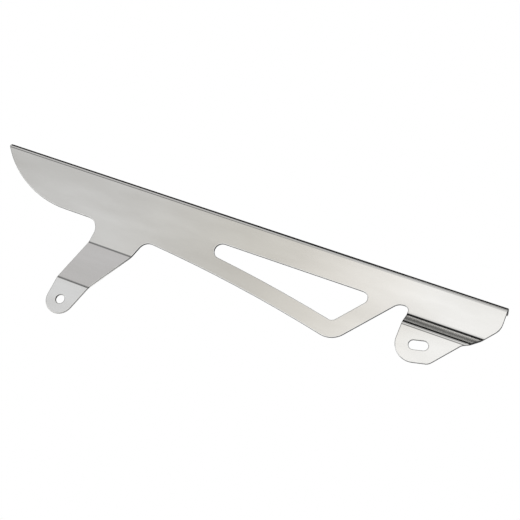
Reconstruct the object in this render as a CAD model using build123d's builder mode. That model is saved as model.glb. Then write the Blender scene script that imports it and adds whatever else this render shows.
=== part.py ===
"""Motorcycle chain guard: one folded sheet with a top flange, two mounting tabs and a cut-out.

Frame: origin at the centre of the round bolt hole, halfway through the sheet.
+X runs along the top edge to the rear end, +Y from the outer face towards the wheel, +Z up.
Drops are measured down from the top of the flange. A lean is the sideways run per millimetre of
sheet, so that an edge which is straight in the flat sheet stays straight across its folds.
"""
from build123d import *

import os
from math import atan, atan2, cos, degrees, hypot, radians, sin, sqrt, tan

os.makedirs("parts", exist_ok=True)

# Sheet, folds and edges
sheet = 2.5
bend_in = 2.5
bend_out = bend_in + sheet
edge_break = 0.75

# Plate and flange
length = 520.0
nose_reach = 140.0
hole_drop = 136.0
plate_depth = 47.5
flange_depth = 20.0
nose_radius = 114.0
nose_clear = 1.0
nose_corner = 1.5
flange_corner_front = 8.0
flange_corner_rear = 2.0
clip_drop = 22.0
clip_angle = radians(51.0)
clip_corner = 15.0

# Front tab
front_step = 20.0
front_fold_drop = 71.0
front_run = 46.0
front_end_radius = 14.0
front_lean_left = 0.05
front_lean_right = 0.32
front_notch_left = 13.0
front_notch_right = 10.0
hole_radius = 4.25
front_ease = 60.0

# Rear tab
rear_step = 10.0
rear_fold_drop = 36.0
rear_fold_angle = radians(45.0)
rear_bend_in = 3.5
rear_lead = 20.6
rear_below_slot = 15.8
rear_heel = 17.0
rear_toe = 8.0
rear_ease = 6.0
rear_turn_high = 10.0
rear_turn_low = 3.5
slot_inset = 59.6
slot_drop = 61.4
slot_length = 17.0
slot_width = 8.5

# V below the plate, its cut-out, and the arch that parts it from the rear tab
v_start_drop = 51.9
v_low_drop = 81.8
v_edge_radius = 1500.0
v_angle = radians(50.5)
v_corner = 20.0
rib_long = 15.8
rib_rear = 16.1
cut_drop = 29.1
cut_front_radius = 7.25
cut_corner = 6.0
arch_width = 9.9
arch_front_radius = 10.0
arch_rear_radius = 4.0

# Levels and faces
top = hole_drop
left = -nose_reach
right = left + length
tab_face = -sheet / 2
plate_face = tab_face + front_step
free_edge = plate_face + flange_depth
plate_low = top - plate_depth
nose_high = top - sheet - nose_clear
nose_run = sqrt(nose_radius**2 - (nose_radius - nose_high + plate_low) ** 2)
front_fold_1 = top - front_fold_drop
front_fold_2 = front_fold_1 - front_run
rear_fold_1 = top - rear_fold_drop
rear_fold_2 = rear_fold_1 - rear_step / tan(rear_fold_angle)
v_start = top - v_start_drop
v_low = top - v_low_drop
cut_top = top - cut_drop

# Front tab edges, tangent to its round end
front_web = hypot(front_step, front_run)
left_fold_2 = front_lean_left * front_fold_2 - front_end_radius * hypot(1, front_lean_left)
left_fold_1 = left_fold_2 + front_lean_left * front_web
left_top = left_fold_1 + front_lean_left * (plate_low - front_fold_1)
right_fold_2 = front_lean_right * front_fold_2 + front_end_radius * hypot(1, front_lean_right)
right_fold_1 = right_fold_2 + front_lean_right * front_web
v_start_x = right_fold_1 + front_lean_right * (v_start - front_fold_1)
turn_left = atan(front_lean_left)
turn_right = atan(front_lean_right)
end_left = (-front_end_radius * cos(turn_left), front_end_radius * sin(turn_left))
end_right = (front_end_radius * cos(turn_right), -front_end_radius * sin(turn_right))

# Rear tab: its sole is parallel to the line from the round hole to the slot
slot_x = right - slot_inset
slot_z = top - slot_drop
rear_left = slot_x - rear_lead
mount_angle = atan2(slot_z, slot_x)
sole_z = slot_z - rear_below_slot / cos(mount_angle)
sole_rise = tan(mount_angle)
heel = (rear_left, sole_z + sole_rise * (rear_left - slot_x))

# Rear edge from the clipped corner to the toe, one straight cut in the flat sheet; in the outline it
# turns below each fold, because the sheet's thickness shows on the sloping part of the joggle
clip_lean = 1 / tan(clip_angle)
rear_web = rear_step / sin(rear_fold_angle)
clip_z = top - clip_drop
clip_fold_1 = right - clip_lean * (clip_z - rear_fold_1)
clip_fold_2 = clip_fold_1 - clip_lean * rear_web
clip_turn_1 = (clip_fold_1 - clip_lean * rear_turn_high, rear_fold_1 - rear_turn_high)
clip_turn_2 = (clip_fold_2 - clip_lean * rear_turn_low, rear_fold_2 - rear_turn_low)
toe_run = clip_fold_2 - clip_lean * (rear_fold_2 - sole_z) - slot_x
toe_run = toe_run / (1 - clip_lean * sole_rise)
toe = (slot_x + toe_run, sole_z + sole_rise * toe_run)

# Arch, and the rear edge of the V that leaves it
arch_front = (rear_left - arch_width, cut_top)
arch_rear = (rear_left, cut_top)
arch_middle = rear_left - arch_width / 2
v_tip = (arch_front[0] - (cut_top - v_low) / tan(v_angle), v_low)

# Long edge of the V: a shallow arc, with the cut-out a rib's width inside it
chord = hypot(v_tip[0] - v_start_x, v_start - v_low)
chord_angle = atan2(v_start - v_low, v_tip[0] - v_start_x)
arc_depth = sqrt(v_edge_radius**2 - (chord / 2) ** 2)
arc_x = (v_start_x + v_tip[0]) / 2 - arc_depth * sin(chord_angle)
arc_z = (v_start + v_low) / 2 - arc_depth * cos(chord_angle)
cut_arc = v_edge_radius + rib_long
cut_front_z = cut_top - cut_front_radius
cut_front_x = arc_x + sqrt((cut_arc + cut_front_radius) ** 2 - (cut_front_z - arc_z) ** 2)
cut_front_angle = atan2(cut_front_z - arc_z, cut_front_x - arc_x)
cut_front_low = (arc_x + cut_arc * cos(cut_front_angle), arc_z + cut_arc * sin(cut_front_angle))
cut_rear = (arch_front[0] - rib_rear / sin(v_angle), cut_top)
from_arc = (cut_rear[0] - arc_x, cut_rear[1] - arc_z)
along = from_arc[0] * cos(v_angle) + from_arc[1] * sin(v_angle)
cut_side = along - sqrt(along**2 - from_arc[0] ** 2 - from_arc[1] ** 2 + cut_arc**2)
cut_tip = (cut_rear[0] - cut_side * cos(v_angle), cut_rear[1] - cut_side * sin(v_angle))


def section(step, fold, run, low, fold_in):
    """Corners (y, z, radius) of a strip of the folded sheet, with a step towards -Y if there is one."""
    fold_out = fold_in + sheet
    back = plate_face + sheet
    upper_front = [(free_edge, top, 0), (plate_face, top, bend_out)]
    upper_back = [(back, top - sheet, bend_in), (free_edge, top - sheet, 0)]
    ends = [(plate_face - step, low, 0), (back - step, low, 0)]
    if not step:
        return upper_front + ends + upper_back
    shift = sheet * tan(atan2(step, run) / 2)
    fold_front = [(plate_face, fold, fold_in), (plate_face - step, fold - run, fold_out)]
    fold_back = [(back - step, fold - run - shift, fold_in), (back, fold - shift, fold_out)]
    return upper_front + fold_front + ends + fold_back + upper_back


def is_skin(face):
    """True for a face of the sheet itself, false for the wall of a cut edge or a hole."""
    normals = [face.normal_at(u, v) for u, v in ((0.1, 0.2), (0.5, 0.5), (0.9, 0.7))]
    if max(abs(normal.X) for normal in normals) > 1e-4 or face.center().Y > free_edge - edge_break:
        return False
    level = face.center().Z
    flat_up = abs(normals[0].Z) > 0.999 and abs(normals[2].Z) > 0.999
    return not flat_up or level > top - sheet - edge_break


front_strip = section(front_step, front_fold_1, front_run, -2 * front_end_radius, bend_in)
middle_strip = section(0, 0, 0, v_low - v_corner, bend_in)
rear_run = rear_fold_1 - rear_fold_2
rear_strip = section(rear_step, rear_fold_1, rear_run, heel[1] - rear_heel, rear_bend_in)
strips = [
    (left, v_start_x + front_notch_right / 2, front_strip),
    (v_start_x + front_notch_right / 2, arch_middle, middle_strip),
    (arch_middle, right, rear_strip),
]

with BuildPart() as guard:
    # The folded sheet before it is trimmed, in strips that differ only below the plate
    for start, end, corners in strips:
        with BuildSketch(Plane.YZ.offset(start)) as strip:
            with BuildLine():
                Polyline([(y, z) for y, z, radius in corners], close=True)
            make_face()
            for y, z, radius in corners:
                if radius:
                    fillet(strip.vertices().sort_by_distance((y, z))[0], radius)
        extrude(amount=end - start)

    # The outline from the outer side, with the cut-out, the bolt hole and the slot
    with BuildSketch(Plane.XZ) as outline:
        with BuildLine():
            Polyline(
                (left, nose_high),
                (left, top),
                (right, top),
                (right, clip_z),
                clip_turn_1,
                clip_turn_2,
                toe,
                heel,
                arch_rear,
                arch_front,
                v_tip,
            )
            RadiusArc(v_tip, (v_start_x, v_start), -v_edge_radius)
            Polyline(
                (v_start_x, v_start),
                (right_fold_1, front_fold_1),
                (right_fold_2, front_fold_2),
                end_right,
            )
            ThreePointArc(end_right, (0, -front_end_radius), end_left)
            Polyline(
                end_left,
                (left_fold_2, front_fold_2),
                (left_fold_1, front_fold_1),
                (left_top, plate_low),
                (left + nose_run, plate_low),
            )
            RadiusArc((left + nose_run, plate_low), (left, nose_high), nose_radius)
        make_face()
        for corner, radius in [
            ((left, nose_high), nose_corner),
            ((right, clip_z), clip_corner),
            (clip_turn_1, rear_ease),
            (clip_turn_2, rear_ease),
            (toe, rear_toe),
            (heel, rear_heel),
            (v_tip, v_corner),
            ((v_start_x, v_start), front_notch_right),
            ((left_top, plate_low), front_notch_left),
            ((left_fold_1, front_fold_1), front_ease),
            ((left_fold_2, front_fold_2), front_ease),
            ((right_fold_1, front_fold_1), front_ease),
            ((right_fold_2, front_fold_2), front_ease),
            (arch_rear, arch_rear_radius),
            (arch_front, arch_front_radius),
        ]:
            fillet(outline.vertices().sort_by_distance(corner)[0], radius)
        with BuildSketch(mode=Mode.SUBTRACT) as cut_out:
            with BuildLine():
                Polyline((cut_front_x, cut_top), cut_rear, cut_tip)
                RadiusArc(cut_tip, cut_front_low, -cut_arc)
                ThreePointArc(
                    cut_front_low,
                    (cut_front_x - cut_front_radius, cut_front_z),
                    (cut_front_x, cut_top),
                )
            make_face()
            for corner in (cut_rear, cut_tip):
                fillet(cut_out.vertices().sort_by_distance(corner)[0], cut_corner)
        Circle(hole_radius, mode=Mode.SUBTRACT)
        with Locations((slot_x, slot_z)):
            SlotOverall(slot_length, slot_width, rotation=degrees(mount_angle), mode=Mode.SUBTRACT)
    extrude(amount=2 * (front_step + flange_depth), both=True, mode=Mode.INTERSECT)

    # Rounded corners at the two ends of the flange
    free_corners = guard.edges().filter_by(Axis.Z).group_by(Axis.Y)[-1].sort_by(Axis.X)
    fillet(free_corners[0], flange_corner_front)
    free_corners = guard.edges().filter_by(Axis.Z).group_by(Axis.Y)[-1].sort_by(Axis.X)
    fillet(free_corners[-1], flange_corner_rear)

    # Broken edges all round the sheet: each edge where one of its two skins meets a cut wall
    skins = guard.faces().filter_by(is_skin)
    rims = ShapeList()
    for skin in skins:
        rims.extend(skin.edges())
    rims = ShapeList(rim for rim in rims if sum(rim.is_same(other) for other in rims) == 1)
    fillet(rims, edge_break)

guard.part.label = "guard"
export_step(guard.part, "parts/guard.step")
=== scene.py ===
"""Motorcycle chain guard: a polished steel finish for the folded sheet, and a small studio round it."""

from math import radians

import bmesh
import bpy
from mathutils import Matrix, Vector


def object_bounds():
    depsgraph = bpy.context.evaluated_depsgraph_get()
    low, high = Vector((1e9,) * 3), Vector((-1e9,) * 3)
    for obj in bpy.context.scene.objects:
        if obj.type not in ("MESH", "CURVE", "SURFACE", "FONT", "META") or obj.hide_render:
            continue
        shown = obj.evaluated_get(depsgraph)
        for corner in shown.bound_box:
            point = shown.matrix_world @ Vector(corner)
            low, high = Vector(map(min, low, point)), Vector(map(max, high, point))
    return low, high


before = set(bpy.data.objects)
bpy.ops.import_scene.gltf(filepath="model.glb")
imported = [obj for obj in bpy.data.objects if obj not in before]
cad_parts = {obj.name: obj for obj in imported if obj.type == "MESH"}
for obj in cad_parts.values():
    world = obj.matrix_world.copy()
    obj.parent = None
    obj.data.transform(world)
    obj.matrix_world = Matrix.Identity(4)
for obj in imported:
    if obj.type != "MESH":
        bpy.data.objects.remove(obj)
CAD_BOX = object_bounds()
FREE_EDGE, TOP = CAD_BOX[1][1:]
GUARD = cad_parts["guard"]

bl_info = {
    "name": "Chain Guard",
    "version": (1, 0, 0),
    "blender": (4, 5, 0),
    "location": "3D View > Sidebar > Chain Guard",
    "description": "Finishes a folded steel chain guard and sets up a studio for it",
    "category": "Object",
}


class ChainGuardFinish(bpy.types.PropertyGroup):
    """Sizes and colours of the polished sheet."""

    steel: bpy.props.FloatVectorProperty(
        name="Steel",
        description="Colour of the polished steel",
        subtype="COLOR",
        size=3,
        min=0.0,
        max=1.0,
        default=(0.85, 0.845, 0.825),
    )
    hazy_steel: bpy.props.FloatVectorProperty(
        name="Hazy steel",
        description="Colour of the steel where the buffing haze is strongest",
        subtype="COLOR",
        size=3,
        min=0.0,
        max=1.0,
        default=(0.745, 0.733, 0.707),
    )
    # Dark colour of the cut walls: partly the dull unbuffed edge, partly painted shade
    cut_and_shade_steel: bpy.props.FloatVectorProperty(
        name="Cut steel",
        description="Colour of the cut edges, which are not buffed",
        subtype="COLOR",
        size=3,
        min=0.0,
        max=1.0,
        default=(0.1, 0.099, 0.098),
    )
    # Painted shade: colour of the dark lines along the tabs' folds and the flange's bend, which stand in
    # for dark reflections in the bends
    fold_shade_steel: bpy.props.FloatVectorProperty(
        name="Fold steel",
        description="Colour of the press marks in the tabs' folds, which are buffed less",
        subtype="COLOR",
        size=3,
        min=0.0,
        max=1.0,
        default=(0.34, 0.34, 0.335),
    )
    # Painted reflection: colour of the dark lines and shaded web along the rear tab's joggle, standing
    # in for the dark studio mirrored in its bends and web
    joggle_shade_steel: bpy.props.FloatVectorProperty(
        name="Die steel",
        description="Colour of the lines that the die leaves along the rear tab's joggle",
        subtype="COLOR",
        size=3,
        min=0.0,
        max=1.0,
        default=(0.03, 0.03, 0.03),
    )
    polish: bpy.props.FloatProperty(
        name="Polish",
        description="Roughness of the buffed faces",
        subtype="FACTOR",
        min=0.0,
        max=1.0,
        default=0.09,
    )
    haze: bpy.props.FloatProperty(
        name="Haze",
        description="Roughness that the buffing haze adds where it is strongest",
        subtype="FACTOR",
        min=0.0,
        max=1.0,
        default=0.05,
    )
    cut_roughness: bpy.props.FloatProperty(
        name="Cut roughness",
        description="Roughness of the cut edges",
        subtype="FACTOR",
        min=0.0,
        max=1.0,
        default=0.36,
    )
    # Painted shade: the dark wall colour reaches further round edges that face the rear
    rear_shade_reach: bpy.props.FloatProperty(
        name="Rear cut",
        description="How much further the cut walls reach round the edges that face the rear",
        subtype="FACTOR",
        min=0.0,
        max=1.0,
        default=0.35,
    )
    tab_cut: bpy.props.FloatProperty(
        name="Tab cut",
        description="How much of the cut walls is left along the flat end of the front tab",
        subtype="FACTOR",
        min=0.0,
        max=1.0,
        default=0.6,
    )
    hole_zone: bpy.props.FloatProperty(
        name="Hole zone",
        description="Reach of the zone round the round hole, whose cut wall is left as it is",
        subtype="DISTANCE",
        unit="LENGTH",
        min=0.0,
        default=0.007,
    )
    hole_fade: bpy.props.FloatProperty(
        name="Hole fade",
        description="Length over which that zone ends",
        subtype="DISTANCE",
        unit="LENGTH",
        min=0.0,
        default=0.001,
    )
    end_zone: bpy.props.FloatProperty(
        name="End zone",
        description="Depth of the cut wall that ends the flange",
        subtype="DISTANCE",
        unit="LENGTH",
        min=0.0,
        default=0.0003,
    )
    flange_zone: bpy.props.FloatProperty(
        name="Flange zone",
        description="Depth below the top in which a level face is the flange and not a cut edge",
        subtype="DISTANCE",
        unit="LENGTH",
        min=0.0,
        default=0.006,
    )
    # Heights of the front tab's folds, along which lines of painted shade are drawn
    upper_crease: bpy.props.FloatProperty(
        name="Upper crease",
        description="Height of the crease that the press leaves in the front tab's upper fold",
        subtype="DISTANCE",
        unit="LENGTH",
        default=0.065,
    )
    lower_crease: bpy.props.FloatProperty(
        name="Lower crease",
        description="Height of the crease that the press leaves in the front tab's lower fold",
        subtype="DISTANCE",
        unit="LENGTH",
        default=0.019,
    )
    crease_width: bpy.props.FloatProperty(
        name="Crease width",
        description="Half the height of those creases",
        subtype="DISTANCE",
        unit="LENGTH",
        min=0.0,
        default=0.0012,
    )
    crease_reach: bpy.props.FloatProperty(
        name="Crease reach",
        description="Place along the sheet at which the front tab's marks have ended",
        subtype="DISTANCE",
        unit="LENGTH",
        default=0.11,
    )
    # Painted shade: the fold lines fade out along the sheet over this length
    mark_fade: bpy.props.FloatProperty(
        name="Mark fade",
        description="Length over which the marks of the tabs' folds fade out along the sheet",
        subtype="DISTANCE",
        unit="LENGTH",
        min=0.0,
        default=0.005,
    )
    # Painted shade: depth, width and strength of a faint dark line along the foot of the flange's bend,
    # standing in for a reflection
    bend_shade_line: bpy.props.FloatProperty(
        name="Bend mark",
        description="Depth below the top of the line that the brake leaves along the flange's bend",
        subtype="DISTANCE",
        unit="LENGTH",
        min=0.0,
        default=0.0045,
    )
    bend_width: bpy.props.FloatProperty(
        name="Bend width",
        description="Half the height of that line",
        subtype="DISTANCE",
        unit="LENGTH",
        min=0.0,
        default=0.0008,
    )
    bend_strength: bpy.props.FloatProperty(
        name="Bend strength",
        description="How dark that line is compared with the creases of the front tab",
        subtype="FACTOR",
        min=0.0,
        max=1.0,
        default=0.58,
    )
    # Place and heights of the painted reflection lines along the joggle
    joggle_start: bpy.props.FloatProperty(
        name="Joggle start",
        description="Place along the sheet behind which the die marks of the joggle lie",
        subtype="DISTANCE",
        unit="LENGTH",
        default=0.29,
    )
    upper_mark: bpy.props.FloatProperty(
        name="Upper mark",
        description="Height of the die mark in the upper fold of the joggle",
        subtype="DISTANCE",
        unit="LENGTH",
        default=0.1004,
    )
    lower_mark: bpy.props.FloatProperty(
        name="Lower mark",
        description="Height of the die mark in the lower fold of the joggle",
        subtype="DISTANCE",
        unit="LENGTH",
        default=0.0911,
    )
    fine_mark: bpy.props.FloatProperty(
        name="Fine mark",
        description="Height of the fine line where the lower fold of the joggle ends",
        subtype="DISTANCE",
        unit="LENGTH",
        default=0.0879,
    )
    mark_width: bpy.props.FloatProperty(
        name="Mark width",
        description="Half the height of the two die marks",
        subtype="DISTANCE",
        unit="LENGTH",
        min=0.0,
        default=0.0007,
    )
    line_depth: bpy.props.FloatProperty(
        name="Line depth",
        description="Depth of the fine buffing lines along the sheet",
        subtype="DISTANCE",
        unit="LENGTH",
        min=0.0,
        default=0.0000012,
    )
    cut_depth: bpy.props.FloatProperty(
        name="Cut depth",
        description="Depth of the marks that cutting leaves across the edges",
        subtype="DISTANCE",
        unit="LENGTH",
        min=0.0,
        default=0.00002,
    )
    wave_depth: bpy.props.FloatProperty(
        name="Wave depth",
        description="Height of the slow waves that pressing leaves in the sheet",
        subtype="DISTANCE",
        unit="LENGTH",
        min=0.0,
        default=0.00004,
    )
    join_within: bpy.props.FloatProperty(
        name="Join within",
        description="Corners of the mesh that lie closer than this are joined before it is smoothed",
        subtype="DISTANCE",
        unit="LENGTH",
        min=0.0,
        default=0.000002,
    )
    smooth_angle: bpy.props.FloatProperty(
        name="Smooth angle",
        description="Folds and broken edges below this angle are shaded smooth",
        subtype="ANGLE",
        unit="ROTATION",
        default=radians(50.0),
    )


class ChainGuardStage(bpy.types.PropertyGroup):
    """Camera, floor and the cards that the polished sheet reflects."""

    camera_place: bpy.props.FloatVectorProperty(
        name="Camera place",
        description="Place of the camera",
        subtype="TRANSLATION",
        unit="LENGTH",
        size=3,
        default=(0.436734, -0.82253, -0.143912),
    )
    camera_right: bpy.props.FloatVectorProperty(
        name="Camera right",
        description="Direction of the picture's right side",
        subtype="DIRECTION",
        size=3,
        default=(0.9009, 0.1855, 0.3925),
    )
    camera_up: bpy.props.FloatVectorProperty(
        name="Camera up",
        description="Direction of the picture's top",
        subtype="DIRECTION",
        size=3,
        default=(-0.3087, -0.3618, 0.8798),
    )
    lens: bpy.props.FloatProperty(
        name="Lens",
        description="Focal length in millimetres",
        default=69.23,
    )
    sensor_width: bpy.props.FloatProperty(
        name="Sensor width",
        description="Width of the camera's sensor in millimetres",
        default=36.0,
    )
    floor_level: bpy.props.FloatProperty(
        name="Floor level",
        description="Height of the floor below the round bolt hole",
        subtype="DISTANCE",
        unit="LENGTH",
        default=-0.32,
    )
    floor_size: bpy.props.FloatProperty(
        name="Floor size",
        description="Side of the square floor",
        subtype="DISTANCE",
        unit="LENGTH",
        default=3.2,
    )
    floor_colour: bpy.props.FloatVectorProperty(
        name="Floor colour",
        description="Colour of the plain pale floor",
        subtype="COLOR",
        size=3,
        min=0.0,
        max=1.0,
        default=(0.82, 0.82, 0.82),
    )
    studio_left: bpy.props.FloatProperty(
        name="Studio left",
        description="Left end of the cards",
        subtype="DISTANCE",
        unit="LENGTH",
        default=-3.2,
    )
    studio_right: bpy.props.FloatProperty(
        name="Studio right",
        description="Right end of the cards",
        subtype="DISTANCE",
        unit="LENGTH",
        default=2.4,
    )
    studio_front: bpy.props.FloatProperty(
        name="Studio front",
        description="Place of the front cards, behind the camera",
        subtype="DISTANCE",
        unit="LENGTH",
        default=-2.5,
    )
    studio_rear: bpy.props.FloatProperty(
        name="Studio rear",
        description="Place of the rear card",
        subtype="DISTANCE",
        unit="LENGTH",
        default=3.0,
    )
    studio_low: bpy.props.FloatProperty(
        name="Studio low",
        description="Lower edge of the low front card",
        subtype="DISTANCE",
        unit="LENGTH",
        default=-0.6,
    )
    studio_top: bpy.props.FloatProperty(
        name="Studio top",
        description="Height of the dark ceiling",
        subtype="DISTANCE",
        unit="LENGTH",
        default=2.6,
    )
    front_split: bpy.props.FloatProperty(
        name="Front split",
        description="Height at which the low front card meets the middle one",
        subtype="DISTANCE",
        unit="LENGTH",
        default=0.58,
    )
    middle_split: bpy.props.FloatProperty(
        name="Middle split",
        description="Height at which the middle front card meets the front card",
        subtype="DISTANCE",
        unit="LENGTH",
        default=0.8,
    )
    gap_low: bpy.props.FloatProperty(
        name="Gap low",
        description="Upper edge of the front card, where the dark gap starts",
        subtype="DISTANCE",
        unit="LENGTH",
        default=1.15,
    )
    gap_high: bpy.props.FloatProperty(
        name="Gap high",
        description="Lower edge of the upper front card, where the dark gap ends",
        subtype="DISTANCE",
        unit="LENGTH",
        default=1.6,
    )
    strip_start: bpy.props.FloatProperty(
        name="Strip start",
        description="Rear edge of the overhead card, where the dark strip starts",
        subtype="DISTANCE",
        unit="LENGTH",
        default=-1.1,
    )
    patch_start: bpy.props.FloatProperty(
        name="Patch start",
        description="Rear edge of the dark strip, where the patch card starts",
        subtype="DISTANCE",
        unit="LENGTH",
        default=-0.8,
    )
    patch_end: bpy.props.FloatProperty(
        name="Patch end",
        description="Rear edge of the patch card, where the dark ceiling starts",
        subtype="DISTANCE",
        unit="LENGTH",
        default=-0.6,
    )
    left_level: bpy.props.FloatProperty(
        name="Left level",
        description="Brightness of the card at the left end",
        min=0.0,
        default=0.22,
    )
    right_level: bpy.props.FloatProperty(
        name="Right level",
        description="Brightness of the card at the right end",
        min=0.0,
        default=0.16,
    )
    room_light: bpy.props.FloatProperty(
        name="Room light",
        description="Strength of the light that the white room gives",
        min=0.0,
        default=0.85,
    )
    lamp_place: bpy.props.FloatVectorProperty(
        name="Lamp place",
        description="Place of the softbox",
        subtype="TRANSLATION",
        unit="LENGTH",
        size=3,
        default=(-0.3, -0.7, 1.9),
    )
    lamp_aim: bpy.props.FloatVectorProperty(
        name="Lamp aim",
        description="Place that the softbox points at",
        subtype="TRANSLATION",
        unit="LENGTH",
        size=3,
        default=(0.12, 0.02, 0.06),
    )
    lamp_width: bpy.props.FloatProperty(
        name="Lamp width",
        description="Width of the softbox",
        subtype="DISTANCE",
        unit="LENGTH",
        min=0.0,
        default=1.4,
    )
    lamp_depth: bpy.props.FloatProperty(
        name="Lamp depth",
        description="Depth of the softbox",
        subtype="DISTANCE",
        unit="LENGTH",
        min=0.0,
        default=1.0,
    )
    lamp_power: bpy.props.FloatProperty(
        name="Lamp power",
        description="Power of the softbox",
        unit="POWER",
        min=0.0,
        default=14.0,
    )


def new_nodes(tree):
    """Empties a node tree and returns a function that adds a node with its values and links."""
    tree.nodes.clear()

    def add(kind, inputs=None, **settings):
        node = tree.nodes.new(kind)
        for name, value in settings.items():
            setattr(node, name, value)
        for key, value in (inputs or {}).items():
            if isinstance(value, bpy.types.NodeSocket):
                tree.links.new(value, node.inputs[key])
            else:
                node.inputs[key].default_value = value
        return node

    return add


def grey(level):
    return (level, level, level)


def band(add, value, start, end):
    """A soft step from 0 at the start to 1 at the end."""
    step = add("ShaderNodeMapRange", {"Value": value, "From Min": start, "From Max": end})
    return step.outputs["Result"]


def between(add, share, low, high):
    """A value that runs from low to high as the share runs from 0 to 1."""
    step = add("ShaderNodeMapRange", {"Value": share, "To Min": low, "To Max": high})
    return step.outputs["Result"]


def joined(add, operation, *values):
    """Two or more values joined by one kind of sum."""
    result = values[0]
    for value in values[1:]:
        result = add("ShaderNodeMath", {0: result, 1: value}, operation=operation).outputs["Value"]
    return result


def size_of(add, value):
    """A value without its sign."""
    return add("ShaderNodeMath", {0: value}, operation="ABSOLUTE").outputs["Value"]


def blend(add, share, first, second):
    """A colour that runs from the first to the second as the share runs from 0 to 1."""
    return add("ShaderNodeMix", {0: share, 6: first, 7: second}, data_type="RGBA").outputs[2]


def ramp(add, value, stops):
    """A colour that runs with a value through the stops (value, colour)."""
    low, high = stops[0][0], stops[-1][0]
    node = add("ShaderNodeValToRGB", {"Fac": band(add, value, low, high)})
    points = node.color_ramp.elements
    for where, _ in stops[1:-1]:
        points.new((where - low) / (high - low))
    for point, (_, colour) in zip(points, stops):
        point.color = (*colour, 1.0)
    return node.outputs["Color"]


def patches(add, place, counts, detail, roughness=0.5):
    """Noise with so many patches to the metre along X, Y and Z."""
    stretched = add("ShaderNodeMapping", {"Vector": place, "Scale": counts}).outputs["Vector"]
    noise = add(
        "ShaderNodeTexNoise",
        {"Vector": stretched, "Scale": 1.0, "Detail": detail, "Roughness": roughness},
    )
    return noise.outputs["Fac"]


def below_flange(add, spot, finish):
    """Share that is 0 at the flange and 1 below it."""
    zone = finish.flange_zone
    return band(add, spot["Z"], TOP - zone, TOP - 2 * zone)


def near_front_tab(add, spot, finish):
    """Share that is 1 in front of the end of the front tab's painted fold shade and 0 behind it."""
    return band(add, spot["X"], finish.crease_reach, finish.crease_reach - finish.mark_fade)


def cut_and_shaded_walls(add, facing, spot, finish):
    """Share of cut wall: what turns sideways, down and out or up and in, lies level below the flange, or
    ends it. Its dark colour is partly the dull cut edge and partly painted shade. The broken edges
    beside the walls are buffed with the faces, and the painted shade reaches further round those that
    face the rear."""
    # Parts of a face's direction at which each share starts and is full
    turning = (0.03, 0.15)
    lying_level = (0.8, 0.95)
    off_the_face = (0.8, 0.5)
    sideways = band(add, size_of(add, facing["X"]), *turning)
    slanted = band(add, joined(add, "MULTIPLY", facing["Y"], facing["Z"]), *turning)
    level = band(add, size_of(add, facing["Z"]), *lying_level)
    level = joined(add, "MULTIPLY", level, below_flange(add, spot, finish))
    to_rear = joined(add, "MULTIPLY", facing["X"], finish.rear_shade_reach)
    wall = band(add, joined(add, "SUBTRACT", size_of(add, facing["Y"]), to_rear), *off_the_face)
    cut = joined(add, "MULTIPLY", joined(add, "MAXIMUM", sideways, slanted, level), wall)
    flange_end = band(add, spot["Y"], FREE_EDGE - finish.end_zone, FREE_EDGE - finish.end_zone / 3)
    return joined(add, "MAXIMUM", cut, flange_end)


def walls_left(add, spot, finish):
    """Share of the cut walls that is kept, with their dull colour and painted shade: none along the
    front tab's sloping web, some along its flat end, and all in its hole and elsewhere."""
    from_hole = joined(add, "MAXIMUM", size_of(add, spot["X"]), size_of(add, spot["Z"]))
    beside_hole = band(add, from_hole, finish.hole_zone, finish.hole_zone + finish.hole_fade)
    below_upper = band(add, spot["Z"], finish.upper_crease, finish.upper_crease - finish.crease_width)
    above_lower = band(add, spot["Z"], finish.lower_crease, finish.lower_crease + finish.crease_width)
    on_tab = joined(add, "MULTIPLY", beside_hole, below_upper, near_front_tab(add, spot, finish))
    return between(add, on_tab, 1.0, between(add, above_lower, finish.tab_cut, 0.0))


def painted_fold_shade(add, facing, spot, finish):
    """Share of painted shade: a dark line along each of the front tab's two folds, and a fainter line on
    the outer face along the foot of the flange's bend, which stand in for dark reflections in the bends."""

    # A line of painted shade of the given half height round a height on the sheet
    def crease(height, width):
        away = size_of(add, joined(add, "SUBTRACT", spot["Z"], height))
        return band(add, away, width, width / 2)

    upper = crease(finish.upper_crease, finish.crease_width)
    lower = crease(finish.lower_crease, finish.crease_width)
    folds = joined(add, "MAXIMUM", upper, lower)
    folds = joined(add, "MULTIPLY", folds, near_front_tab(add, spot, finish))
    facing_out = (-0.5, -0.8)
    outer = band(add, facing["Y"], *facing_out)
    foot = crease(TOP - finish.bend_shade_line, finish.bend_width)
    foot = joined(add, "MULTIPLY", foot, outer, finish.bend_strength)
    return joined(add, "MAXIMUM", folds, foot)


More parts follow.
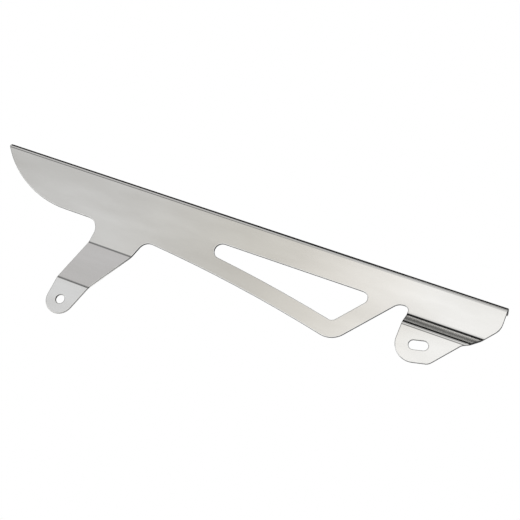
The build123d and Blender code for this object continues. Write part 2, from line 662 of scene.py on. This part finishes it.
def painted_joggle_reflection(add, spot, finish):
    """Share of painted reflection along the joggle: a dark line in each fold with a paler band outside
    it, a fine line where the lower fold ends, and painted shade along the middle of the web."""
    half, soft = finish.mark_width, finish.mark_width / 2
    fine, lower, upper = finish.fine_mark, finish.lower_mark, finish.upper_mark
    web = upper - lower
    clear, full = grey(0.0), grey(1.0)
    fine_line, lower_band, upper_band = grey(0.75), grey(0.1), grey(0.25)
    web_shade_foot, web_shade, web_shade_head = grey(0.4), grey(0.74), grey(0.45)
    # Painted reflection: dark lines, pale bands and painted shade across the joggle, by height
    reflected_bands = ramp(
        add,
        spot["Z"],
        [
            (fine - 2 * soft, clear),
            (fine - soft, fine_line),
            (fine + soft / 2, fine_line),
            (fine + 2 * soft, lower_band),
            (lower - half - soft, lower_band),
            (lower - half, full),
            (lower + half, full),
            (lower + half + soft, web_shade_foot),
            (lower + 0.24 * web, web_shade_foot),
            (lower + 0.37 * web, web_shade),
            (lower + 0.5 * web, web_shade),
            (lower + 0.64 * web, web_shade_head),
            (lower + 0.74 * web, clear),
            (upper - half - soft, clear),
            (upper - half, full),
            (upper + half, full),
            (upper + half + soft, upper_band),
            (upper + 4 * half, clear),
        ],
    )
    behind = band(add, spot["X"], finish.joggle_start, finish.joggle_start + finish.mark_fade)
    return joined(add, "MULTIPLY", reflected_bands, behind, below_flange(add, spot, finish))


def buffing_haze(add, place):
    """Share of haze: broad soft patches, drawn out along the sheet."""
    clear, hazy = 0.35, 0.7
    spread = patches(add, place, counts=(7.0, 16.0, 28.0), detail=4.0, roughness=0.55)
    return band(add, spread, clear, hazy)


def sheet_relief(add, place, cut, finish):
    """Normal with slow waves, buffing lines along the sheet, and cutting marks on its edges."""
    waves = patches(add, place, counts=(7.0, 7.0, 7.0), detail=1.0)
    lines = patches(add, place, counts=(9.0, 1900.0, 1900.0), detail=3.0)
    marks = patches(add, place, counts=(1500.0, 60.0, 1500.0), detail=2.0)
    wavy = add("ShaderNodeBump", {"Height": waves, "Distance": finish.wave_depth, "Strength": 1.0})
    normal = wavy.outputs["Normal"]
    for height, depth, strength in ((lines, finish.line_depth, 1.0), (marks, finish.cut_depth, cut)):
        bump = add(
            "ShaderNodeBump",
            {"Height": height, "Distance": depth, "Strength": strength, "Normal": normal},
        )
        normal = bump.outputs["Normal"]
    return normal


def polished_steel(finish):
    """Buffed steel with faint haze, painted shade and reflections in its folds, and dull, shaded cut
    edges.
    """
    material = bpy.data.materials.new("polished_steel")
    material.use_nodes = True
    add = new_nodes(material.node_tree)
    coordinates = add("ShaderNodeTexCoord").outputs
    place = coordinates["Object"]
    spot = add("ShaderNodeSeparateXYZ", {0: place}).outputs
    facing = add("ShaderNodeSeparateXYZ", {0: coordinates["Normal"]}).outputs

    haze = buffing_haze(add, place)
    fold = painted_fold_shade(add, facing, spot, finish)
    shade = painted_joggle_reflection(add, spot, finish)
    # Cut walls: their roughness and cutting marks are real, their dark colour is partly painted shade
    cut = joined(add, "MULTIPLY", cut_and_shaded_walls(add, facing, spot, finish), walls_left(add, spot, finish))

    colour = blend(add, haze, (*finish.steel, 1.0), (*finish.hazy_steel, 1.0))
    # Fold and joggle colours are painted shade and reflections; the cut colour is partly the dull edge,
    # partly painted shade
    for share, marked in ((fold, finish.fold_shade_steel), (shade, finish.joggle_shade_steel), (cut, finish.cut_and_shade_steel)):
        colour = blend(add, share, colour, (*marked, 1.0))
    roughness = between(add, haze, finish.polish, finish.polish + finish.haze)
    roughness = between(add, cut, roughness, finish.cut_roughness)
    normal = sheet_relief(add, place, cut, finish)
    steel = add(
        "ShaderNodeBsdfPrincipled",
        {"Base Color": colour, "Metallic": 1.0, "Roughness": roughness, "Normal": normal},
    )
    add("ShaderNodeOutputMaterial", {"Surface": steel.outputs["BSDF"]})
    return material


def smooth_sheet(finish):
    """Node group that joins the sheet's faces and shades its folds and broken edges smooth."""
    group = bpy.data.node_groups.new("smooth_sheet", "GeometryNodeTree")
    group.interface.new_socket("Sheet", in_out="INPUT", socket_type="NodeSocketGeometry")
    group.interface.new_socket("Sheet", in_out="OUTPUT", socket_type="NodeSocketGeometry")
    add = new_nodes(group)
    sheet = add("NodeGroupInput").outputs[0]
    whole = add("GeometryNodeMergeByDistance", {"Geometry": sheet, "Distance": finish.join_within})
    smooth = add("GeometryNodeSetShadeSmooth", {"Geometry": whole.outputs[0], "Shade Smooth": True})
    angle = add("GeometryNodeInputMeshEdgeAngle").outputs["Unsigned Angle"]
    sharp = add("FunctionNodeCompare", {"A": angle, "B": finish.smooth_angle}, operation="GREATER_THAN")
    creased = add(
        "GeometryNodeSetShadeSmooth",
        {"Geometry": smooth.outputs[0], "Selection": sharp.outputs["Result"], "Shade Smooth": False},
        domain="EDGE",
    )
    add("NodeGroupOutput", {0: creased.outputs[0]})
    return group


def stage_plane(name, corner, along, across, material):
    """A flat card from one corner and its two sides."""
    corner, along, across = Vector(corner), Vector(along), Vector(across)
    mesh = bpy.data.meshes.new(name)
    shape = bmesh.new()
    bmesh.ops.create_grid(shape, x_segments=1, y_segments=1, size=0.5)
    bmesh.ops.translate(shape, vec=(0.5, 0.5, 0.0), verts=shape.verts)
    frame_of_card = Matrix((along, across, along.cross(across).normalized())).transposed().to_4x4()
    bmesh.ops.transform(shape, matrix=Matrix.Translation(corner) @ frame_of_card, verts=shape.verts)
    shape.to_mesh(mesh)
    shape.free()
    card = bpy.data.objects.new(name, mesh)
    mesh.materials.append(material)
    bpy.context.scene.collection.objects.link(card)
    return card


def card_material(name, axis, stops):
    """A glow whose colour runs along an axis through the stops (place, colour)."""
    material = bpy.data.materials.new(name)
    material.use_nodes = True
    add = new_nodes(material.node_tree)
    place = add("ShaderNodeSeparateXYZ", {0: add("ShaderNodeTexCoord").outputs["Object"]})
    glow = add("ShaderNodeEmission", {"Color": ramp(add, place.outputs[axis], stops), "Strength": 1.0})
    add("ShaderNodeOutputMaterial", {"Surface": glow.outputs["Emission"]})
    return material


def studio_card(name, axis, stops, corner, along, across):
    """A glowing card, kept out of the picture and the plain light, so that only the metal shows it."""
    card = stage_plane(name, corner, along, across, card_material(name, axis, stops))
    card.visible_camera = False
    card.visible_diffuse = False
    card.visible_shadow = False
    card.visible_volume_scatter = False


def front_cards(stage):
    """Name, lower edge, upper edge and stops along X of the cards in front. They brighten to the right,
    with a warm stretch on the way and a gap that is dark on the left."""
    left, right = stage.studio_left, stage.studio_right
    low_stops = [
        (left, (0.78, 0.79, 0.81)),
        (-1.0, (0.8, 0.81, 0.83)),
        (-0.2, grey(1.04)),
        (right, grey(1.08)),
    ]
    middle_stops = [
        (left, grey(0.6)),
        (-1.75, grey(0.645)),
        (-1.3, grey(0.715)),
        (-0.75, (0.655, 0.64, 0.605)),
        (-0.45, (0.78, 0.755, 0.71)),
        (-0.2, (1.0, 0.98, 0.945)),
        (-0.02, grey(1.06)),
        (right, grey(1.08)),
    ]
    front_stops = [
        (left, grey(0.6)),
        (-1.75, grey(0.645)),
        (-1.3, grey(0.715)),
        (-0.75, (0.695, 0.68, 0.64)),
        (-0.45, (0.845, 0.82, 0.78)),
        (-0.17, (1.0, 0.98, 0.955)),
        (-0.02, grey(1.07)),
        (right, grey(1.12)),
    ]
    gap_stops = [
        (left, grey(0.03)),
        (-1.0, grey(0.05)),
        (-0.2, grey(1.1)),
        (right, grey(1.15)),
    ]
    upper_stops = [
        (left, grey(0.6)),
        (-1.3, grey(0.715)),
        (-0.7, (0.8, 0.79, 0.76)),
        (-0.4, grey(1.05)),
        (right, grey(1.15)),
    ]
    return (
        ("low_front_card", stage.studio_low, stage.front_split, low_stops),
        ("middle_front_card", stage.front_split, stage.middle_split, middle_stops),
        ("front_card", stage.middle_split, stage.gap_low, front_stops),
        ("dark_gap", stage.gap_low, stage.gap_high, gap_stops),
        ("upper_front_card", stage.gap_high, stage.studio_top, upper_stops),
    )


def overhead_cards(stage):
    """Name, front edge, rear edge and stops along X of the cards overhead. They are grey, then dark but
    for a patch over the joggle and for the far right, which only the top of the flange mirrors."""
    left, right = stage.studio_left, stage.studio_right
    overhead_stops = [
        (left, grey(0.58)),
        (-1.2, (0.6, 0.592, 0.602)),
        (-0.75, grey(0.62)),
        (-0.3, grey(0.52)),
        (right, grey(0.5)),
    ]
    strip_stops = [
        (left, grey(0.58)),
        (-1.2, grey(0.58)),
        (-0.6, grey(0.02)),
        (right, grey(0.02)),
    ]
    patch_stops = [
        (left, grey(0.58)),
        (-1.2, grey(0.58)),
        (-0.5, grey(0.2)),
        (-0.25, grey(0.2)),
        (-0.13, grey(0.95)),
        (0.15, grey(0.95)),
        (0.25, grey(0.2)),
        (right, grey(0.2)),
    ]
    ceiling_stops = [
        (left, grey(0.02)),
        (0.3, grey(0.02)),
        (0.6, grey(0.6)),
        (right, grey(0.75)),
    ]
    return (
        ("overhead_card", stage.studio_front, stage.strip_start, overhead_stops),
        ("dark_strip", stage.strip_start, stage.patch_start, strip_stops),
        ("patch_card", stage.patch_start, stage.patch_end, patch_stops),
        ("dark_ceiling", stage.patch_end, stage.studio_rear, ceiling_stops),
    )


class OBJECT_OT_chain_guard_finish(bpy.types.Operator):
    """Give the folded sheet its polished steel finish"""

    bl_idname = "object.chain_guard_finish"
    bl_label = "Polished Sheet"

    def execute(self, context):
        finish = context.scene.chain_guard_finish
        GUARD.data.materials.clear()
        GUARD.data.materials.append(polished_steel(finish))
        smoothing = GUARD.modifiers.new("smooth_sheet", "NODES")
        smoothing.node_group = smooth_sheet(finish)
        flats = GUARD.modifiers.new("flat_faces", "WEIGHTED_NORMAL")
        flats.mode = "FACE_AREA"
        flats.keep_sharp = True
        return {"FINISHED"}


class OBJECT_OT_chain_guard_stage(bpy.types.Operator):
    """Set up the floor, the cards, the light and the camera"""

    bl_idname = "object.chain_guard_stage"
    bl_label = "Studio"

    def execute(self, context):
        stage = context.scene.chain_guard_stage
        self.make_floor(stage)
        self.make_cards(stage)
        self.make_world(context, stage)
        self.make_lamp(context, stage)
        self.make_camera(context, stage)
        context.scene.view_settings.view_transform = "Standard"
        return {"FINISHED"}

    def make_floor(self, stage):
        material = bpy.data.materials.new("pale_floor")
        material.use_nodes = True
        add = new_nodes(material.node_tree)
        pale = add("ShaderNodeBsdfDiffuse", {"Color": (*stage.floor_colour, 1.0)})
        add("ShaderNodeOutputMaterial", {"Surface": pale.outputs["BSDF"]})
        side = stage.floor_size
        middle = (CAD_BOX[0][0] + CAD_BOX[1][0]) / 2
        corner = (middle - side / 2, -side / 2, stage.floor_level)
        stage_plane("floor", corner, (side, 0.0, 0.0), (0.0, side, 0.0), material)

    def make_cards(self, stage):
        left, right = stage.studio_left, stage.studio_right
        front, rear = stage.studio_front, stage.studio_rear
        low, top, floor = stage.studio_low, stage.studio_top, stage.floor_level
        along = (right - left, 0.0, 0.0)
        for name, lower, upper, stops in front_cards(stage):
            studio_card(name, "X", stops, (left, front, lower), along, (0.0, 0.0, upper - lower))
        for name, near, far, stops in overhead_cards(stage):
            studio_card(name, "X", stops, (left, near, top), along, (0.0, far - near, 0.0))

        # The rear and the two ends are darker, so that the broken edges show as thin grey lines
        rear_stops = [(floor, grey(0.2)), (0.9, grey(0.2)), (1.2, grey(0.05)), (top, grey(0.04))]
        studio_card("rear_card", "Z", rear_stops, (left, rear, top), along, (0.0, 0.0, floor - top))
        depth = (0.0, rear - front, 0.0)
        for name, x, level in (
            ("left_card", left, stage.left_level),
            ("right_card", right, stage.right_level),
        ):
            stops = [(low, grey(level)), (top, grey(level))]
            studio_card(name, "Z", stops, (x, front, low), depth, (0.0, 0.0, top - low))

    def make_world(self, context, stage):
        """Plain white where the camera or a mirrored ray meets it, and the room's light elsewhere."""
        world = bpy.data.worlds.new("white_studio")
        world.use_nodes = True
        add = new_nodes(world.node_tree)
        path = add("ShaderNodeLightPath").outputs
        rays = [path[f"Is {kind} Ray"] for kind in ("Camera", "Glossy", "Transmission")]
        level = between(add, joined(add, "MAXIMUM", *rays), stage.room_light, 1.0)
        plain = add("ShaderNodeBackground", {"Color": (1.0, 1.0, 1.0, 1.0), "Strength": level})
        add("ShaderNodeOutputWorld", {"Surface": plain.outputs["Background"]})
        context.scene.world = world

    def make_lamp(self, context, stage):
        lamp = bpy.data.lights.new("softbox", "AREA")
        lamp.shape = "RECTANGLE"
        lamp.size = stage.lamp_width
        lamp.size_y = stage.lamp_depth
        lamp.energy = stage.lamp_power
        softbox = bpy.data.objects.new("softbox", lamp)
        softbox.location = stage.lamp_place
        aim = Vector(stage.lamp_aim) - softbox.location
        softbox.rotation_euler = aim.to_track_quat("-Z", "Y").to_euler()
        softbox.visible_glossy = False
        context.scene.collection.objects.link(softbox)

    def make_camera(self, context, stage):
        right = Vector(stage.camera_right).normalized()
        up = Vector(stage.camera_up)
        up = (up - right * up.dot(right)).normalized()
        camera = bpy.data.objects.new("camera", bpy.data.cameras.new("camera"))
        camera.data.sensor_width = stage.sensor_width
        camera.data.lens = stage.lens
        camera.data.clip_start = 0.01
        turn = Matrix((right, up, right.cross(up))).transposed().to_4x4()
        camera.matrix_world = Matrix.Translation(Vector(stage.camera_place)) @ turn
        context.scene.collection.objects.link(camera)
        context.scene.camera = camera


class VIEW3D_PT_chain_guard(bpy.types.Panel):
    """Lists the steps that finish the chain guard"""

    bl_label = "Chain Guard"
    bl_space_type = "VIEW_3D"
    bl_region_type = "UI"
    bl_category = "Chain Guard"

    def draw(self, context):
        layout = self.layout
        for settings, operator in (
            (context.scene.chain_guard_finish, OBJECT_OT_chain_guard_finish),
            (context.scene.chain_guard_stage, OBJECT_OT_chain_guard_stage),
        ):
            box = layout.box()
            for name in settings.__annotations__:
                box.prop(settings, name)
            box.operator(operator.bl_idname)


CLASSES = (
    ChainGuardFinish,
    ChainGuardStage,
    OBJECT_OT_chain_guard_finish,
    OBJECT_OT_chain_guard_stage,
    VIEW3D_PT_chain_guard,
)


def register():
    for cls in CLASSES:
        bpy.utils.register_class(cls)
    bpy.types.Scene.chain_guard_finish = bpy.props.PointerProperty(type=ChainGuardFinish)
    bpy.types.Scene.chain_guard_stage = bpy.props.PointerProperty(type=ChainGuardStage)


def unregister():
    del bpy.types.Scene.chain_guard_stage
    del bpy.types.Scene.chain_guard_finish
    for cls in reversed(CLASSES):
        bpy.utils.unregister_class(cls)


def main():
    register()
    bpy.ops.object.chain_guard_finish()
    bpy.ops.object.chain_guard_stage()


if __name__ == "__main__":
    main()
